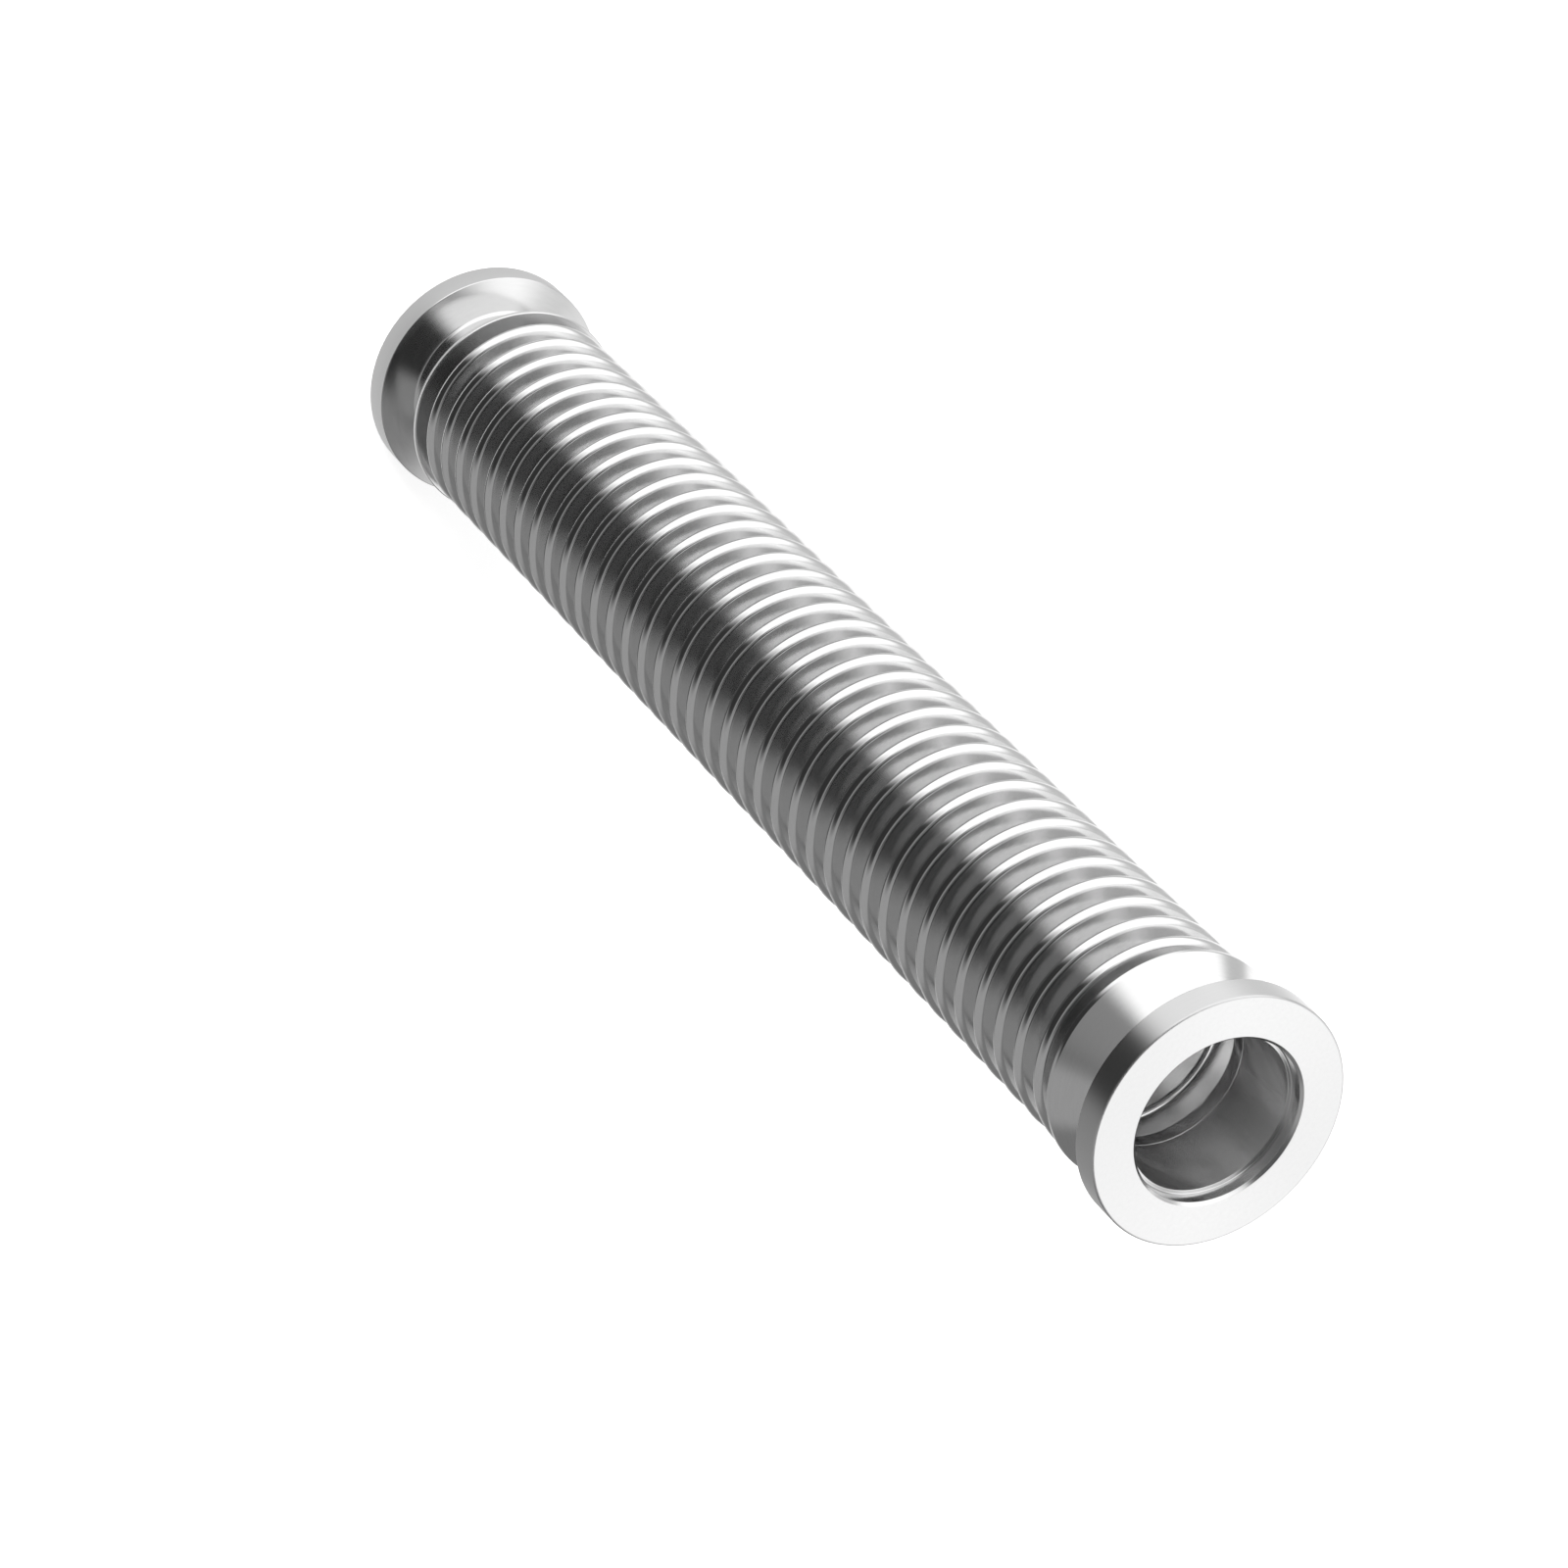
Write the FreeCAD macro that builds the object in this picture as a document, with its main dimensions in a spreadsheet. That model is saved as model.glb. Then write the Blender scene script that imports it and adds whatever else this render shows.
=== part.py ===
"""Straight stainless vacuum bellows hose with a small-flange quick-clamp end on each side.

The hose stands on its lower flange. The origin is the centre of that flange's sealing face and +Z
runs along the bore, so every section below is drawn as (radius, height) and revolved about Z.
"""

import FreeCAD, Part
import math
import os

import Sketcher

doc = FreeCAD.newDocument("vacuum_bellows_hose")

# Driving sizes, in millimetres and degrees
SIZES = {
    "flange_diameter": 40.0,  # the quick-clamp size for a 25 mm bore
    "rim_thickness": 4.7,
    "rim_chamfer": 0.3,
    "taper_angle": 15.0,  # back of the rim, where the clamp's wedge bears
    "recess_diameter": 26.2,  # seat of the centring ring
    "recess_depth": 2.6,
    "mouth_chamfer": 0.45,
    "bore_diameter": 25.0,  # flange and bellows alike
    "neck_diameter": 28.0,
    "neck_end": 9.4,  # from the sealing face to the foot of the flare
    "collar_diameter": 37.0,
    "collar_land": 0.8,
    "flange_length": 15.8,
    "socket_depth": 1.0,
    "socket_clearance": 0.05,  # radial, round the bellows' cuff
    "crest_diameter": 36.2,
    "wall_thickness": 0.3,
    "fold_pitch": 5.84,
    "fold_count": 37,
    "crest_width": 3.2,
    "shoulder_drop": 0.8,  # from the tip of a fold to the top of its flat flank
    "cuff_exposed": 1.16,  # bare cuff between the collar and the first fold
    "weld_leg": 0.9,
}

sheet = doc.addObject("Spreadsheet::Sheet", "sizes")
for row, (alias, value) in enumerate(SIZES.items(), start=1):
    sheet.set(f"A{row}", alias)
    sheet.set(f"B{row}", str(value))
    sheet.setAlias(f"B{row}", alias)
doc.recompute()


def size(alias):
    """The expression for a cell of the sheet."""
    return f"sizes.{alias}"


# Sizes of the end flange, worked out from the sheet
RIM_RADIUS = f"{size('flange_diameter')} / 2"
NECK_RADIUS = f"{size('neck_diameter')} / 2"
COLLAR_RADIUS = f"{size('collar_diameter')} / 2"
RECESS_RADIUS = f"{size('recess_diameter')} / 2"
BORE_RADIUS = f"{size('bore_diameter')} / 2"
TAPER_FOOT = f"{size('rim_thickness')} + ({RIM_RADIUS} - {NECK_RADIUS}) * tan({size('taper_angle')} * 1 deg)"
SOCKET_FLOOR = f"{size('flange_length')} - {size('socket_depth')}"

# Sizes of one fold. Its wall is even: the inner line runs one wall thickness inside the outer one.
WALL = size("wall_thickness")
PITCH = size("fold_pitch")
DROP = size("shoulder_drop")
CREST_RADIUS = f"{size('crest_diameter')} / 2"
HALF_CREST = f"{size('crest_width')} / 2"
HALF_GROOVE = f"({PITCH} - {size('crest_width')}) / 2"
CREST_SLOPE = f"({DROP} / ({HALF_CREST}))"
ROOT_SLOPE = f"({DROP} / ({HALF_GROOVE}))"
CREST_INNER = f"({CREST_RADIUS} - {WALL} * sqrt(1 + {CREST_SLOPE} ^ 2))"
ROOT_OUTER = f"({BORE_RADIUS} + {WALL} * sqrt(1 + {ROOT_SLOPE} ^ 2))"
CREST_SHOULDER_OUTER = f"{CREST_RADIUS} - {DROP}"
CREST_SHOULDER_INNER = f"{CREST_INNER} - {CREST_SLOPE} * ({HALF_CREST} - {WALL})"
ROOT_SHOULDER_OUTER = f"{ROOT_OUTER} + {DROP}"
ROOT_SHOULDER_INNER = f"{BORE_RADIUS} + {ROOT_SLOPE} * ({HALF_GROOVE} + {WALL})"

# Places along the hose
FOLDS_LENGTH = f"{size('fold_count')} * {PITCH}"
FIRST_FOLD = f"{size('flange_length')} + {size('cuff_exposed')}"
OVERALL_LENGTH = f"2 * ({FIRST_FOLD}) + {FOLDS_LENGTH}"
CUFF_LENGTH = f"{size('cuff_exposed')} + {size('socket_depth')}"
SOCKET_RADIUS = f"{ROOT_OUTER} + {size('socket_clearance')}"
WELD_REACH = f"{SOCKET_RADIUS} + {size('weld_leg')}"


def origin_feature(body, role):
    """One of the body's own origin planes or axes."""
    return next(item for item in body.Origin.OriginFeatures if item.Role == role)


def new_body(name):
    body = doc.addObject("PartDesign::Body", name)
    body.Label = name
    return body


def section(body, name, corners):
    """A closed half section on the body's XZ plane, its corners given as (radius, height) expressions.

    The corners are first drawn on a small circle, and the dimensions then pull them into place.
    """
    sketch = body.newObject("Sketcher::SketchObject", name)
    sketch.AttachmentSupport = [(origin_feature(body, "XZ_Plane"), "")]
    sketch.MapMode = "FlatFace"
    step = 2 * math.pi / len(corners)
    starts = [(2 + math.cos(step * index), 2 + math.sin(step * index)) for index in range(len(corners))]
    for start, end in zip(starts, starts[1:] + starts[:1]):
        line = Part.LineSegment(FreeCAD.Vector(*start, 0), FreeCAD.Vector(*end, 0))
        sketch.addGeometry(line, False)
    for index, corner in enumerate(corners):
        following = (index + 1) % len(corners)
        sketch.addConstraint(Sketcher.Constraint("Coincident", index, 2, following, 1))
        for axis, expression in enumerate(corner):
            if index and expression == corners[index - 1][axis]:
                straight = ("Vertical", "Horizontal")[axis]
                sketch.addConstraint(Sketcher.Constraint(straight, index - 1))
            else:
                place_corner(sketch, index, axis, starts[index][axis], expression)
    return sketch


def place_corner(sketch, index, axis, start, expression):
    """Dimension a corner from the origin along the sketch's x (axis 0) or y (axis 1)."""
    kind = ("DistanceX", "DistanceY")[axis]
    number = sketch.addConstraint(Sketcher.Constraint(kind, -1, 1, index, 1, start))
    sketch.renameConstraint(number, f"{('radius', 'height')[axis]}_{index}")
    sketch.setExpression(f"Constraints[{number}]", f"({expression}) * 1 mm")


def revolved(body, name, corners):
    """A closed half section revolved a full turn about Z."""
    sketch = section(body, f"{name}_section", corners)
    feature = body.newObject("PartDesign::Revolution", name)
    feature.Profile = sketch
    feature.ReferenceAxis = (sketch, ["V_Axis"])
    feature.Angle = 360
    sketch.Visibility = False
    doc.recompute()
    return feature


def end_flange(name):
    """Turned end piece: clamp rim, centring recess, neck, flared collar and the bellows' socket."""
    body = new_body(name)
    mouth_radius = f"{RECESS_RADIUS} + {size('mouth_chamfer')}"
    rim_face_radius = f"{RIM_RADIUS} - {size('rim_chamfer')}"
    collar_foot = f"{size('flange_length')} - {size('collar_land')}"
    corners = [
        (mouth_radius, "0"),
        (rim_face_radius, "0"),
        (RIM_RADIUS, size("rim_chamfer")),
        (RIM_RADIUS, size("rim_thickness")),
        (NECK_RADIUS, TAPER_FOOT),
        (NECK_RADIUS, size("neck_end")),
        (COLLAR_RADIUS, collar_foot),
        (COLLAR_RADIUS, size("flange_length")),
        (SOCKET_RADIUS, size("flange_length")),
        (SOCKET_RADIUS, SOCKET_FLOOR),
        (BORE_RADIUS, SOCKET_FLOOR),
        (BORE_RADIUS, size("recess_depth")),
        (RECESS_RADIUS, size("recess_depth")),
        (RECESS_RADIUS, size("mouth_chamfer")),
    ]
    revolved(body, "turned", corners)
    return body


def weld_bead(name):
    """Fillet weld that seals the bellows' cuff to the flange's end face."""
    body = new_body(name)
    corners = [
        (ROOT_OUTER, "0"),
        (WELD_REACH, "0"),
        (ROOT_OUTER, size("weld_leg")),
    ]
    revolved(body, "bead", corners)
    return body


def fold_corners():
    """Half section of the fold next to the first cuff, root to root, with flat flanks and an even wall."""
    half_pitch = f"{PITCH} / 2"
    outer = [
        (ROOT_OUTER, "0"),
        (ROOT_SHOULDER_OUTER, HALF_GROOVE),
        (CREST_SHOULDER_OUTER, HALF_GROOVE),
        (CREST_RADIUS, half_pitch),
        (CREST_SHOULDER_OUTER, f"{PITCH} - {HALF_GROOVE}"),
        (ROOT_SHOULDER_OUTER, f"{PITCH} - {HALF_GROOVE}"),
        (ROOT_OUTER, PITCH),
    ]
    inner = [
        (BORE_RADIUS, PITCH),
        (ROOT_SHOULDER_INNER, f"{PITCH} - {HALF_GROOVE} - {WALL}"),
        (CREST_SHOULDER_INNER, f"{PITCH} - {HALF_GROOVE} - {WALL}"),
        (CREST_INNER, half_pitch),
        (CREST_SHOULDER_INNER, f"{HALF_GROOVE} + {WALL}"),
        (ROOT_SHOULDER_INNER, f"{HALF_GROOVE} + {WALL}"),
        (BORE_RADIUS, "0"),
    ]
    return [(radius, f"{CUFF_LENGTH} + {height}") for radius, height in outer + inner]


def bellows(name):
    """Thin formed tube: one fold repeated along the axis, and a plain cuff at each end."""
    body = new_body(name)
    fold = revolved(body, "fold", fold_corners())
    row = body.newObject("PartDesign::LinearPattern", "folds")
    row.Originals = [fold]
    row.Direction = (origin_feature(body, "Z_Axis"), [""])
    row.setExpression("Length", f"({size('fold_count')} - 1) * {PITCH} * 1 mm")
    row.setExpression("Occurrences", size("fold_count"))
    body.Tip = row
    doc.recompute()
    last_root = f"{CUFF_LENGTH} + {FOLDS_LENGTH}"
    cuffs = {
        "first_cuff": ("0", CUFF_LENGTH),
        "last_cuff": (last_root, f"{last_root} + {CUFF_LENGTH}"),
    }
    for end, (near, far) in cuffs.items():
        corners = [(BORE_RADIUS, near), (ROOT_OUTER, near), (ROOT_OUTER, far), (BORE_RADIUS, far)]
        revolved(body, end, corners)
    return body


def place(body, height, upside_down=False):
    """Set a body on the axis at a height, turned over for the upper end."""
    turn = FreeCAD.Rotation(FreeCAD.Vector(1, 0, 0), 180 if upside_down else 0)
    body.Placement = FreeCAD.Placement(FreeCAD.Vector(0, 0, 0), turn)
    body.setExpression("Placement.Base.z", f"({height}) * 1 mm")
    return body


parts = [
    place(end_flange("lower_flange"), "0"),
    place(end_flange("upper_flange"), OVERALL_LENGTH, upside_down=True),
    place(bellows("bellows"), SOCKET_FLOOR),
    place(weld_bead("lower_weld"), size("flange_length")),
    place(weld_bead("upper_weld"), f"{OVERALL_LENGTH} - {size('flange_length')}", upside_down=True),
]
doc.recompute()

for item in doc.Objects:
    if "Invalid" in item.State or "Error" in item.State:
        raise RuntimeError(f"{item.Label} did not compute: {item.State}")

os.makedirs("parts", exist_ok=True)
for part in parts:
    shape = part.Shape
    if shape.isNull() or not shape.isValid() or len(shape.Solids) != 1:
        raise RuntimeError(f"{part.Label} is not one valid solid")
    shape.exportStep(f"parts/{part.Label}.step")
    box = shape.BoundBox
    print(
        part.Label,
        f"{box.XLength:.2f} x {box.YLength:.2f} x {box.ZLength:.2f} mm,",
        f"z {box.ZMin:.2f} to {box.ZMax:.2f},",
        f"{shape.Volume / 1000:.3f} cm3, {len(shape.Faces)} faces",
    )
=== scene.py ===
import math

import bpy
from mathutils import Matrix, Quaternion, Vector


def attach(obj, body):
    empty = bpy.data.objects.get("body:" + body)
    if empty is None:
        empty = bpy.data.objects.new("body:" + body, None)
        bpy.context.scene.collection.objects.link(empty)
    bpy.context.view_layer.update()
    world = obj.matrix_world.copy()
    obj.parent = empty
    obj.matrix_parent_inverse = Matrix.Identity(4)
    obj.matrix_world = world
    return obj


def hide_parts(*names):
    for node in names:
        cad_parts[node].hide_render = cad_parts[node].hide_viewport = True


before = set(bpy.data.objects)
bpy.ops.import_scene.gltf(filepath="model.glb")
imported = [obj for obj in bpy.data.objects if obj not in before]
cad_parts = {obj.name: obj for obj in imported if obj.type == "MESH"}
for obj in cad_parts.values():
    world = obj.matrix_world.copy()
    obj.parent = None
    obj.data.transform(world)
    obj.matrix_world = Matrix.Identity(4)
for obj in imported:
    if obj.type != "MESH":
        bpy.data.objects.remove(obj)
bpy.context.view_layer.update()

# Everything is in metres. The hose stands on its lower flange with its axis on Z.
MM = 0.001
MICRON = 0.001 * MM

# The photograph's camera. It is rolled, because the hose lies in the picture and stands here.
CAMERA_PLACE = Vector((0.0, -0.56264, 0.79763))
CAMERA_AIM = Vector((0.010845, -0.000209, 0.134061))
CAMERA_ROLL = math.radians(-136.08)
CAMERA_LENS = 130.587

# Sizes shared with the solids
LENGTH = 250 * MM
RIM_RADIUS = 20 * MM
RIM_THICKNESS = 4.7 * MM
TAPER_ANGLE = math.radians(15)
RECESS_RADIUS = 13.1 * MM
RECESS_DEPTH = 2.6 * MM
MOUTH_CHAMFER = 0.45 * MM
BORE_RADIUS = 12.5 * MM
NECK_RADIUS = 14 * MM
NECK_END = 9.4 * MM
COLLAR_RADIUS = 18.5 * MM
COLLAR_LAND = 0.8 * MM
FLANGE_LENGTH = 15.8 * MM
SOCKET_DEPTH = 1.0 * MM
SOCKET_CLEARANCE = 0.05 * MM
CREST_RADIUS = 18.1 * MM
WALL = 0.3 * MM
PITCH = 5.84 * MM
FOLDS = 37
WELD_LEG = 0.9 * MM
WELD_REACH = 13.8 * MM

TAPER_FOOT = RIM_THICKNESS + (RIM_RADIUS - NECK_RADIUS) * math.tan(TAPER_ANGLE)
FIRST_ROOT = (LENGTH - FOLDS * PITCH) / 2
ROOT_RADIUS = BORE_RADIUS + WALL

# Details that the solids leave to the scene
CREST_ROUND = 1.2 * MM
ROOT_ROUND = 0.6 * MM
CUFF_BREAK = 0.1 * MM
SOCKET_MARGIN = 0.1 * MM
FINE_BREAK = 0.08 * MM
STEP_BREAK = 0.15 * MM
EDGE_BREAK = 0.2 * MM
RIM_BREAK = 0.3 * MM
TAPER_BLEND = 0.9 * MM
FLARE_BLEND = 2.0 * MM
COLLAR_BLEND = 0.5 * MM
WELD_BULGE = 0.08 * MM
WELD_RIPPLES = 88
RIPPLE_HEIGHT = 0.035 * MM
RIPPLE_LAG = 1.4

SOCKET_RADIUS = ROOT_RADIUS + SOCKET_CLEARANCE + SOCKET_MARGIN

# How finely the turned pieces are cut
FLANGE_SEGMENTS = 224
BELLOWS_SEGMENTS = 88
WELD_SEGMENTS = 352
WELD_STEPS = 8

# The metal's grain: noise detail, bump strength, and the darkest and lightest share of the colour
GRAIN_DETAIL = 4
GRAIN_STRENGTH = 0.6
TONE_SHARES = (0.94, 1.04)
QUARTER_TURN = 0.25

# The studio
MIDDLE = Vector((0, 0, LENGTH / 2))
BOUNCES = 16
WORLD_LEVEL = 0.5
FLOOR_REACH = 4.0
FLOOR_COLOUR = (0.85, 0.85, 0.85, 1)
FLOOR_GLOW = 0.6
SOFTBOX_PLACE = Vector((-0.55, -0.75, 0.45))
SOFTBOX_WIDTH = 0.9
SOFTBOX_HEIGHT = 0.5
SOFTBOX_ENERGY = 14
PAPER_RADIUS = 30 * MM
PAPER_HEIGHT = 0.02 * MM
PAPER_SEGMENTS = 96
PAPER_BRIGHTNESS = 0.9
TENT_RADIUS = 1.2
TENT_COLUMNS = 120
TENT_ROWS = 60
TENT_CLOTH = 1.15

# The tent's panels, laid over each other in turn. Azimuth runs from -Y towards +X, all in degrees:
# left, right, low, high, slope of top and bottom, lean of the sides, soft edges both ways, brightness
TENT_PANELS = [
    (-150, 170, 58, 130, -0.1, 0, 40, 14, 0.02),
    (40, 172, -75, 62, 0, 0, 20, 14, 0.42),
    (106, 142, -16, 62, 0, 0, 14, 14, 0.24),
    (133, 195, -62, -25, 0, 0, 14, 14, 0.7),
    (-30, 56, -120, 60, 0, 0, 20, 20, 0.04),
    (-30, 62, 30, 46, 0, 0, 16, 12, 0.36),
    (-170, -96, -120, -50, 0, 0, 30, 14, 0.9),
    (-120, 10, -120, -50, 0, 0, 24, 12, 0.3),
    (-10, 125, -120, -50, 0, 0, 24, 12, 0.08),
    (-180, 180, -120, -77, 0, 0, 24, 16, 0.12),
    (-106, -12, -47, 48, -0.14, -0.06, 24, 12, 1.6),
    (-122, -97, -60, 34, 0, -0.3, 12, 14, 0.72),
    (-185, -124, -40, 0, 0.3, 0, 10, 14, 1.5),
    (-180, -118, 12, 48, 0, 0, 14, 14, 0.75),
    (-215, -120, 54, 78, 0, 0, 14, 12, 1.6),
    (150, 215, 25, 75, 0, 0, 24, 24, 1.25),
]


def rounded(corners):
    """A closed section with its corners rounded: points and normals, with a zone for each stretch.

    A corner is (radius, height, rounding, steps, zone), and the zone is that of the stretch after it.
    The corners run so that the metal is on the left.
    """
    points, normals, zones = [], [], []
    for index, (x, y, rounding, steps, zone) in enumerate(corners):
        here = Vector((x, y))
        before = (Vector(corners[index - 1][:2]) - here).normalized()
        after = (Vector(corners[(index + 1) % len(corners)][:2]) - here).normalized()
        half = before.angle(after) / 2
        reach = rounding / math.tan(half)
        centre = here + (before + after).normalized() * (rounding / math.sin(half))
        first = here + before * reach - centre
        turn = math.pi - 2 * half
        if (-before).cross(after) < 0:
            turn = -turn
        outward = 1 if turn > 0 else -1
        for step in range(steps + 1):
            spoke = first.copy()
            spoke.rotate(Matrix.Rotation(turn * step / steps, 2))
            points.append(centre + spoke)
            normals.append(spoke.normalized() * outward)
            zones.append(zone)
    return points, normals, zones


def linked(name, data):
    """Put a mesh, a lamp or a camera into the scene."""
    piece = bpy.data.objects.new(name, data)
    bpy.context.collection.objects.link(piece)
    return piece


def revolve(name, section, segments, materials, flip=False):
    """A ring-shaped piece: the closed section turned about Z, with its exact normals."""
    points, normals, zones = section
    side = -1 if flip else 1
    base = LENGTH if flip else 0
    verts, shades = [], []
    for turn in range(segments):
        angle = 2 * math.pi * turn / segments
        across = Vector((math.cos(angle), math.sin(angle), 0))
        for point, normal in zip(points, normals):
            verts.append(across * point.x + Vector((0, 0, base + side * point.y)))
            shades.append(across * normal.x + Vector((0, 0, side * normal.y)))
    names = list(materials)
    slots = [names.index(zone) for zone in zones] * segments
    piece = ring_mesh(name, verts, segments, materials.values(), flip)
    piece.data.polygons.foreach_set("material_index", slots)
    piece.data.normals_split_custom_set_from_vertices(shades)
    return piece


def ring_mesh(name, verts, segments, materials, flip):
    """Join neighbouring closed sections all the way round."""
    rows = len(verts) // segments
    faces = []
    for turn in range(segments):
        near = turn * rows
        far = (turn + 1) % segments * rows
        for row in range(rows):
            following = (row + 1) % rows
            corners = (near + row, far + row, far + following, near + following)
            faces.append(corners[::-1] if flip else corners)
    mesh = bpy.data.meshes.new(name)
    mesh.from_pydata(verts, [], faces)
    for material in materials:
        mesh.materials.append(material)
    mesh.polygons.foreach_set("use_smooth", [True] * len(faces))
    return linked(name, mesh)


def flange_section():
    """Turned end piece with small breaks on its edges and blends at the neck."""
    socket_floor = FLANGE_LENGTH - SOCKET_DEPTH
    corners = [
        (RECESS_RADIUS + MOUTH_CHAMFER, 0, FINE_BREAK, 3, "face"),
        (RIM_RADIUS, 0, RIM_BREAK, 5, "rim"),
        (RIM_RADIUS, RIM_THICKNESS, EDGE_BREAK, 5, "neck"),
        (NECK_RADIUS, TAPER_FOOT, TAPER_BLEND, 10, "neck"),
        (NECK_RADIUS, NECK_END, FLARE_BLEND, 10, "neck"),
        (COLLAR_RADIUS, FLANGE_LENGTH - COLLAR_LAND, COLLAR_BLEND, 6, "neck"),
        (COLLAR_RADIUS, FLANGE_LENGTH, EDGE_BREAK, 4, "neck"),
        (SOCKET_RADIUS, FLANGE_LENGTH, FINE_BREAK, 2, "bore"),
        (SOCKET_RADIUS, socket_floor, FINE_BREAK, 2, "bore"),
        (BORE_RADIUS, socket_floor, FINE_BREAK, 2, "bore"),
        (BORE_RADIUS, RECESS_DEPTH, FINE_BREAK, 3, "recess"),
        (RECESS_RADIUS, RECESS_DEPTH, STEP_BREAK, 3, "recess"),
        (RECESS_RADIUS, MOUTH_CHAMFER, FINE_BREAK, 3, "recess"),
    ]
    return rounded(corners)


def bellows_section():
    """Thin wall up and down over the folds, with round crests, round roots and leaning flanks."""
    depth = CREST_RADIUS - CREST_ROUND - ROOT_RADIUS - ROOT_ROUND
    reach = math.hypot(PITCH / 2, depth)
    flank = math.atan2(PITCH / 2, -depth) - math.acos((CREST_ROUND + ROOT_ROUND) / reach)
    corner = math.tan(flank / 2)
    # Slightly less than the full rounding, so that two neighbours never touch
    share = 0.98
    crest, root = CREST_ROUND, ROOT_ROUND
    crest_inside, root_inside = CREST_ROUND - WALL, ROOT_ROUND + WALL
    cuff = FLANGE_LENGTH - SOCKET_DEPTH
    outer = [(ROOT_RADIUS, cuff, CUFF_BREAK, 2, "outside")]
    inner = [(BORE_RADIUS, cuff, CUFF_BREAK, 2, "outside")]
    for fold in range(FOLDS):
        low = FIRST_ROOT + fold * PITCH
        top = low + PITCH / 2
        high = low + PITCH
        outer += [
            (ROOT_RADIUS, low + root * corner, root * share, 2, "outside"),
            (CREST_RADIUS, top - crest * corner, crest * share, 4, "outside"),
            (CREST_RADIUS, top + crest * corner, crest * share, 4, "outside"),
            (ROOT_RADIUS, high - root * corner, root * share, 2, "outside"),
        ]
        inner += [
            (BORE_RADIUS, low + root_inside * corner, root_inside * share, 3, "inside"),
            (CREST_RADIUS - WALL, top - crest_inside * corner, crest_inside * share, 2, "inside"),
            (CREST_RADIUS - WALL, top + crest_inside * corner, crest_inside * share, 2, "inside"),
            (BORE_RADIUS, high - root_inside * corner, root_inside * share, 3, "inside"),
        ]
    outer.append((ROOT_RADIUS, LENGTH - cuff, CUFF_BREAK, 2, "inside"))
    inner.append((BORE_RADIUS, LENGTH - cuff, CUFF_BREAK, 2, "inside"))
    return rounded(outer + inner[::-1])


def weld_bead(name, metal, flip=False):
    """Fillet weld between the flange's end face and the cuff, with crescent ripples."""
    side = -1 if flip else 1
    base = LENGTH if flip else 0
    leg = WELD_REACH - ROOT_RADIUS
    verts = []
    for turn in range(WELD_SEGMENTS):
        angle = 2 * math.pi * turn / WELD_SEGMENTS
        across = Vector((math.cos(angle), math.sin(angle), 0))
        section = [(0, 0)]
        for step in range(WELD_STEPS + 1):
            share = step / WELD_STEPS
            ripple = math.cos(WELD_RIPPLES * angle - RIPPLE_LAG * (2 * share - 1) ** 2)
            swell = math.sin(math.pi * share) * (WELD_BULGE + RIPPLE_HEIGHT * ripple)
            section.append((leg * (1 - share) + swell, WELD_LEG * share + swell))
        for out, up in section:
            place = across * (ROOT_RADIUS + out)
            place.z = base + side * (FLANGE_LENGTH + up)
            verts.append(place)
    return ring_mesh(name, verts, WELD_SEGMENTS, [metal], flip)


def steel(name, colour, roughness, spread, grain_scale, grain_depth, brushed=0):
    """Bare steel with a fine grain stretched along one direction, and a slight change of gloss.

    Where it is brushed, the marks run round the axis and smear the gloss across them.
    """
    material = bpy.data.materials.new(name)
    material.use_nodes = True
    nodes = material.node_tree.nodes
    links = material.node_tree.links
    shader = nodes["Principled BSDF"]
    shader.inputs["Metallic"].default_value = 1
    if brushed:
        round_axis = nodes.new("ShaderNodeTangent")
        round_axis.direction_type = "RADIAL"
        round_axis.axis = "Z"
        links.new(round_axis.outputs[0], shader.inputs["Tangent"])
        shader.inputs["Anisotropic"].default_value = brushed
        shader.inputs["Anisotropic Rotation"].default_value = QUARTER_TURN
    place = nodes.new("ShaderNodeTexCoord")
    stretch = nodes.new("ShaderNodeMapping")
    stretch.inputs["Scale"].default_value = grain_scale
    links.new(place.outputs["Object"], stretch.inputs["Vector"])
    grain = nodes.new("ShaderNodeTexNoise")
    grain.inputs["Scale"].default_value = 1
    grain.inputs["Detail"].default_value = GRAIN_DETAIL
    links.new(stretch.outputs["Vector"], grain.inputs["Vector"])
    bump = nodes.new("ShaderNodeBump")
    bump.inputs["Distance"].default_value = grain_depth
    bump.inputs["Strength"].default_value = GRAIN_STRENGTH
    links.new(grain.outputs["Fac"], bump.inputs["Height"])
    links.new(bump.outputs["Normal"], shader.inputs["Normal"])
    gloss = nodes.new("ShaderNodeMapRange")
    gloss.inputs["To Min"].default_value = roughness - spread
    gloss.inputs["To Max"].default_value = roughness + spread
    links.new(grain.outputs["Fac"], gloss.inputs["Value"])
    links.new(gloss.outputs["Result"], shader.inputs["Roughness"])
    tone = nodes.new("ShaderNodeMapRange")
    tone.data_type = "FLOAT_VECTOR"
    darkest, lightest = TONE_SHARES
    tone.inputs["To Min"].default_value = [value * darkest for value in colour]
    tone.inputs["To Max"].default_value = [value * lightest for value in colour]
    links.new(grain.outputs["Fac"], tone.inputs["Vector"])
    links.new(tone.outputs["Vector"], shader.inputs["Base Color"])
    return material


def bellows_steels():
    """Bright formed sheet; its inside has a lighter colour than its outside, painted light that lifts
    the shade in the bore.
    """
    scale, depth, spread = (900, 900, 4000), 0.8 * MICRON, 0.02
    return {
        "outside": steel("bright_formed_steel", (0.7, 0.7, 0.7), 0.13, spread, scale, depth),
        # Painted light: the same sheet is coloured lighter inside the bore than outside, to lift the
        # shade there
        "inside": steel("inner_steel_painted_lighter", (0.82, 0.82, 0.82), 0.15, spread, scale, depth),
    }


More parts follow.
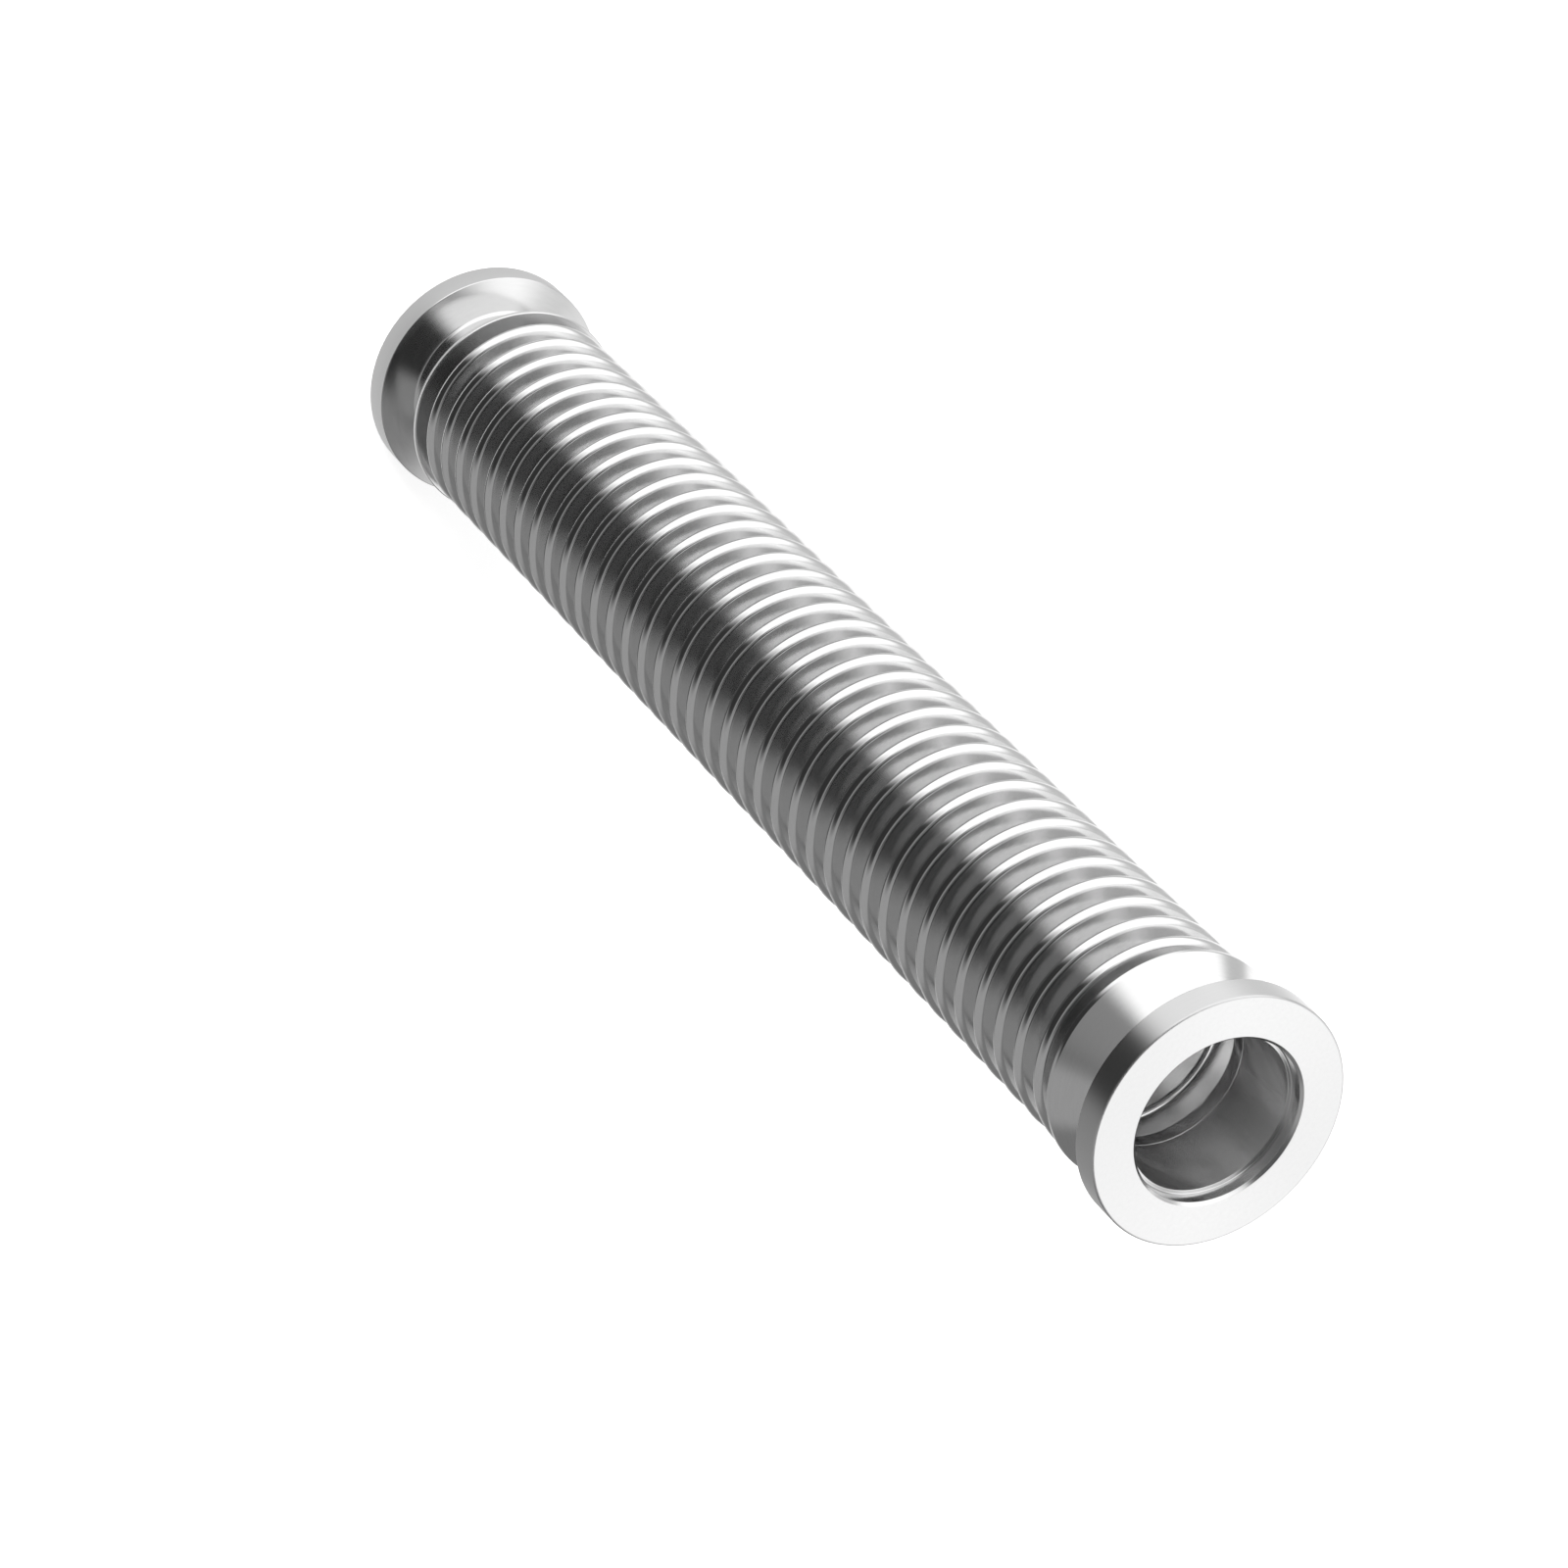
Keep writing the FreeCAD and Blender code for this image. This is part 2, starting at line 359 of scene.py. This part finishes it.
def flange_steels():
    """Turned face and rim, polished neck and recess, drawn bore; the bore has a lighter colour than the
    neck and rim, painted light that lifts the shade inside it.
    """
    face_scale, rim_scale = (1500, 1500, 1500), (200, 200, 9000)
    neck_scale, bore_scale = (300, 300, 5000), (2500, 2500, 100)
    turned_depth, polished_depth, drawn_depth = 6 * MICRON, 0.3 * MICRON, 0.5 * MICRON
    face = steel("turned_face_steel", (0.78, 0.78, 0.78), 0.3, 0.06, face_scale, turned_depth, 0.6)
    rim = steel("turned_rim_steel", (0.6, 0.6, 0.6), 0.36, 0.05, rim_scale, turned_depth, 0.8)
    neck = steel("polished_neck_steel", (0.68, 0.68, 0.68), 0.17, 0.02, neck_scale, polished_depth, 0.4)
    # Painted light: the drawn bore is coloured lighter than the neck and rim to lift the shade inside
    # it; its axial grain is real
    bore = steel("drawn_bore_steel_painted_lighter", (0.8, 0.8, 0.8), 0.22, 0.04, bore_scale, drawn_depth)
    return {"face": face, "rim": rim, "neck": neck, "bore": bore, "recess": neck}


def dress(piece, node):
    """Let a piece ride the one body and take the place of its solid."""
    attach(piece, "root")
    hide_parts(node)


def build():
    sheet = bellows_steels()
    turned = flange_steels()
    weld = steel("weld_steel", (0.58, 0.57, 0.56), 0.24, 0.05, (2500, 2500, 2500), 10 * MICRON)
    section = flange_section()
    for name, flip in (("lower_flange", False), ("upper_flange", True)):
        flange = revolve(f"{name}_turned", section, FLANGE_SEGMENTS, turned, flip)
        dress(flange, name)
    folds = revolve("bellows_tube", bellows_section(), BELLOWS_SEGMENTS, sheet)
    dress(folds, "bellows")
    for name, flip in (("lower_weld", False), ("upper_weld", True)):
        dress(weld_bead(f"{name}_rippled", weld, flip), name)


def camera():
    data = bpy.data.cameras.new("photo_camera")
    data.lens = CAMERA_LENS
    data.clip_start = 0.01
    data.clip_end = 20
    eye = linked("photo_camera", data)
    level = (CAMERA_AIM - CAMERA_PLACE).to_track_quat("-Z", "Y")
    eye.location = CAMERA_PLACE
    eye.rotation_mode = "QUATERNION"
    eye.rotation_quaternion = level @ Quaternion((0, 0, 1), -CAMERA_ROLL)
    bpy.context.scene.camera = eye


def white_seen(nodes, links, strength):
    """A strength that counts for the camera, in mirrors and through glass, and not as light."""
    path = nodes.new("ShaderNodeLightPath")
    seen = nodes.new("ShaderNodeMath")
    seen.operation = "MAXIMUM"
    links.new(path.outputs["Is Camera Ray"], seen.inputs[0])
    links.new(path.outputs["Is Glossy Ray"], seen.inputs[1])
    through = nodes.new("ShaderNodeMath")
    through.operation = "MAXIMUM"
    links.new(seen.outputs[0], through.inputs[0])
    links.new(path.outputs["Is Transmission Ray"], through.inputs[1])
    scaled = nodes.new("ShaderNodeMath")
    scaled.operation = "MULTIPLY"
    scaled.inputs[1].default_value = strength
    links.new(through.outputs[0], scaled.inputs[0])
    return scaled.outputs[0]


def studio():
    scene = bpy.context.scene
    scene.view_settings.view_transform = "Standard"
    scene.cycles.max_bounces = BOUNCES
    scene.cycles.glossy_bounces = BOUNCES
    pale_world()
    pale_floor()
    softbox()
    tent()
    foot_paper()


def pale_world():
    """Soft light from all round, which is seen as white."""
    world = bpy.data.worlds.new("studio")
    bpy.context.scene.world = world
    world.use_nodes = True
    nodes = world.node_tree.nodes
    links = world.node_tree.links
    seen = white_seen(nodes, links, 1 - WORLD_LEVEL)
    level = nodes.new("ShaderNodeMath")
    level.operation = "ADD"
    level.inputs[1].default_value = WORLD_LEVEL
    links.new(seen, level.inputs[0])
    nodes["Background"].inputs["Color"].default_value = (1, 1, 1, 1)
    links.new(level.outputs[0], nodes["Background"].inputs["Strength"])


def pale_floor():
    """White paper that keeps the shadow. Mirrors see the tent in its place."""
    far = FLOOR_REACH
    corners = [(-far, -far, 0), (far, -far, 0), (far, far, 0), (-far, far, 0)]
    mesh = bpy.data.meshes.new("floor")
    mesh.from_pydata(corners, [], [(0, 1, 2, 3)])
    floor = linked("floor", mesh)
    floor.visible_glossy = False
    paper = bpy.data.materials.new("white_paper")
    paper.use_nodes = True
    nodes = paper.node_tree.nodes
    links = paper.node_tree.links
    shader = nodes["Principled BSDF"]
    shader.inputs["Base Color"].default_value = FLOOR_COLOUR
    shader.inputs["Roughness"].default_value = 1
    shader.inputs["Specular IOR Level"].default_value = 0
    shader.inputs["Emission Color"].default_value = (1, 1, 1, 1)
    links.new(white_seen(nodes, links, FLOOR_GLOW), shader.inputs["Emission Strength"])
    mesh.materials.append(paper)


def softbox():
    lamp = bpy.data.lights.new("softbox", "AREA")
    lamp.shape = "RECTANGLE"
    lamp.size = SOFTBOX_WIDTH
    lamp.size_y = SOFTBOX_HEIGHT
    lamp.energy = SOFTBOX_ENERGY
    box = linked("softbox", lamp)
    box.location = SOFTBOX_PLACE
    box.rotation_mode = "QUATERNION"
    box.rotation_quaternion = (MIDDLE - SOFTBOX_PLACE).to_track_quat("-Z", "Y")
    box.visible_glossy = False


def ease(value):
    """A smooth step from 0 at -0.5 to 1 at 0.5."""
    share = min(max(value + 0.5, 0), 1)
    return share * share * (3 - 2 * share)


def tent_tone(azimuth, elevation):
    """How bright the light tent is in one direction, with all its panels laid over each other."""
    tone = TENT_CLOTH
    for left, right, low, high, slope, lean, side_fade, top_fade, level in TENT_PANELS:
        across = (azimuth - (left + right) / 2 + 180) % 360 - 180
        height = elevation - slope * across
        across -= lean * (elevation - (low + high) / 2)
        half = (right - left) / 2
        cover = ease((across + half) / side_fade) * ease((half - across) / side_fade)
        cover *= ease((height - low) / top_fade) * ease((high - height) / top_fade)
        tone += (level - tone) * cover
    return tone


def tent():
    """White cloth with grey and dark panels all round the hose, which only the steel sees."""
    verts, tones = [], []
    for row in range(TENT_ROWS + 1):
        elevation = -90 + 180 * row / TENT_ROWS
        for column in range(TENT_COLUMNS):
            azimuth = 360 * column / TENT_COLUMNS - 180
            a, e = math.radians(azimuth), math.radians(elevation)
            away = Vector((math.sin(a) * math.cos(e), -math.cos(a) * math.cos(e), math.sin(e)))
            verts.append(MIDDLE + away * TENT_RADIUS)
            tones.append(tent_tone(azimuth, elevation))
    faces = []
    for row in range(TENT_ROWS):
        for column in range(TENT_COLUMNS):
            low = row * TENT_COLUMNS
            high = low + TENT_COLUMNS
            following = (column + 1) % TENT_COLUMNS
            faces.append((low + column, high + column, high + following, low + following))
    mesh = bpy.data.meshes.new("light_tent")
    mesh.from_pydata(verts, [], faces)
    brightness = mesh.attributes.new("brightness", "FLOAT", "POINT")
    brightness.data.foreach_set("value", tones)
    tree = glow_in_mirrors("light_tent", mesh)
    level = tree.nodes.new("ShaderNodeAttribute")
    level.attribute_name = "brightness"
    tree.links.new(level.outputs["Fac"], tree.nodes["Emission"].inputs["Strength"])


def foot_paper():
    """A small white sheet under the foot, which only the steel sees: it lights the lower rim."""
    corners = []
    for turn in range(PAPER_SEGMENTS):
        angle = 2 * math.pi * turn / PAPER_SEGMENTS
        x = PAPER_RADIUS * math.cos(angle)
        y = PAPER_RADIUS * math.sin(angle)
        corners.append((x, y, PAPER_HEIGHT))
    mesh = bpy.data.meshes.new("foot_paper")
    mesh.from_pydata(corners, [], [tuple(range(PAPER_SEGMENTS))])
    tree = glow_in_mirrors("foot_paper", mesh)
    tree.nodes["Emission"].inputs["Strength"].default_value = PAPER_BRIGHTNESS


def glow_in_mirrors(name, mesh):
    """Make a mesh a glowing stage piece that is hidden from everything but reflections."""
    piece = linked(name, mesh)
    piece.visible_camera = False
    piece.visible_diffuse = False
    piece.visible_shadow = False
    piece.visible_transmission = False
    material = bpy.data.materials.new(name)
    material.use_nodes = True
    tree = material.node_tree
    tree.nodes.clear()
    glow = tree.nodes.new("ShaderNodeEmission")
    output = tree.nodes.new("ShaderNodeOutputMaterial")
    tree.links.new(glow.outputs[0], output.inputs["Surface"])
    mesh.materials.append(material)
    return tree


camera()
build()
studio()

bpy.context.view_layer.update()
